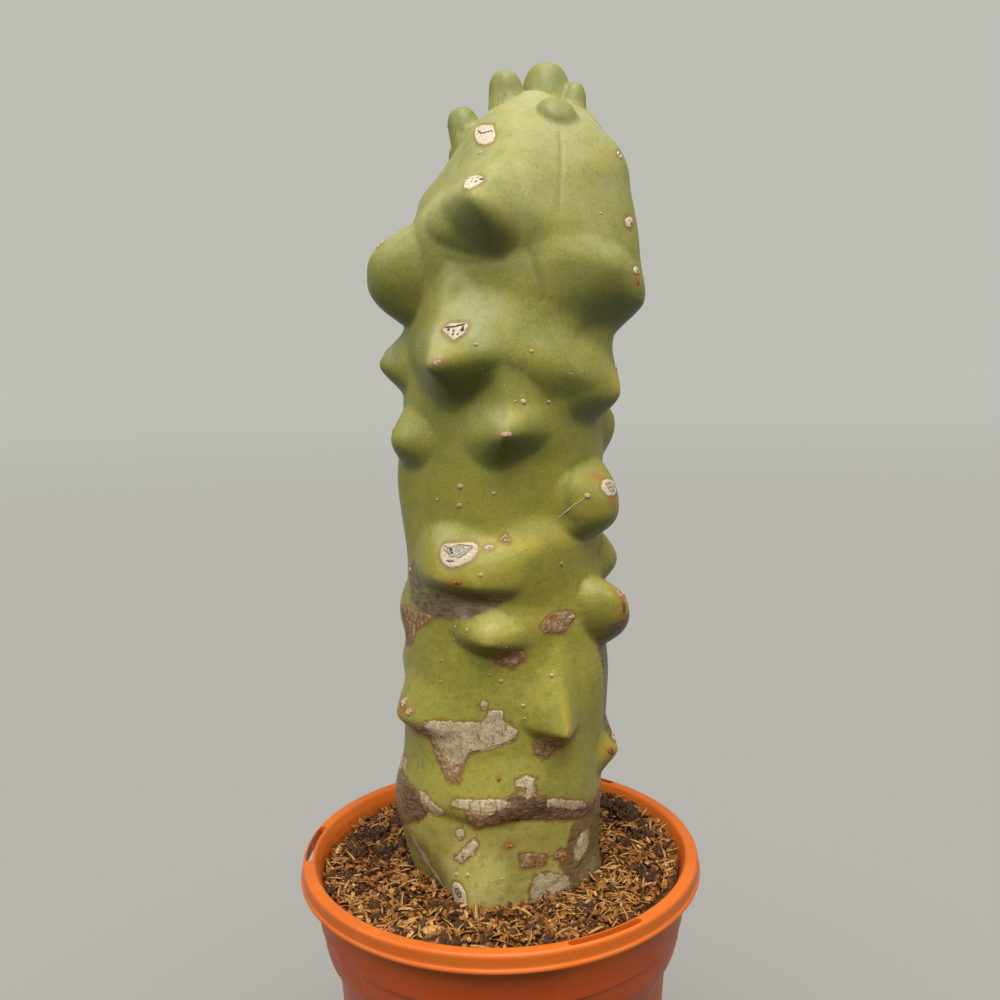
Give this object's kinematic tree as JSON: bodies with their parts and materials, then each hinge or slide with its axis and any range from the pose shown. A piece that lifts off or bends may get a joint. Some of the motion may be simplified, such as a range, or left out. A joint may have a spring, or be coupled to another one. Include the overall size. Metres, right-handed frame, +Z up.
{
  "type": "potted totem pole cactus",
  "caption": "Single smooth, spineless columnar cactus stem with rounded noses and knobs, standing in soil in a round plastic nursery pot with a flanged rim.",
  "frame": {"origin": "centre of the pot's foot, on the surface it stands on", "axes": "+Z up along the pot's axis, -Y towards the viewer, +X to the viewer's right"},
  "size_m": [0.14, 0.14, 0.383],
  "materials": {
    "pot_plastic": "satin moulded terracotta-orange polypropylene",
    "soil": "rough, loose coir and peat with dark crumbs",
    "stem_skin": "waxy matte green skin with a pale bloom and cork scars"
  },
  "bodies": {
    "root": {"pot": "pot_plastic", "soil": "soil", "cactus_stem": "stem_skin"}
  },
  "joints": []
}
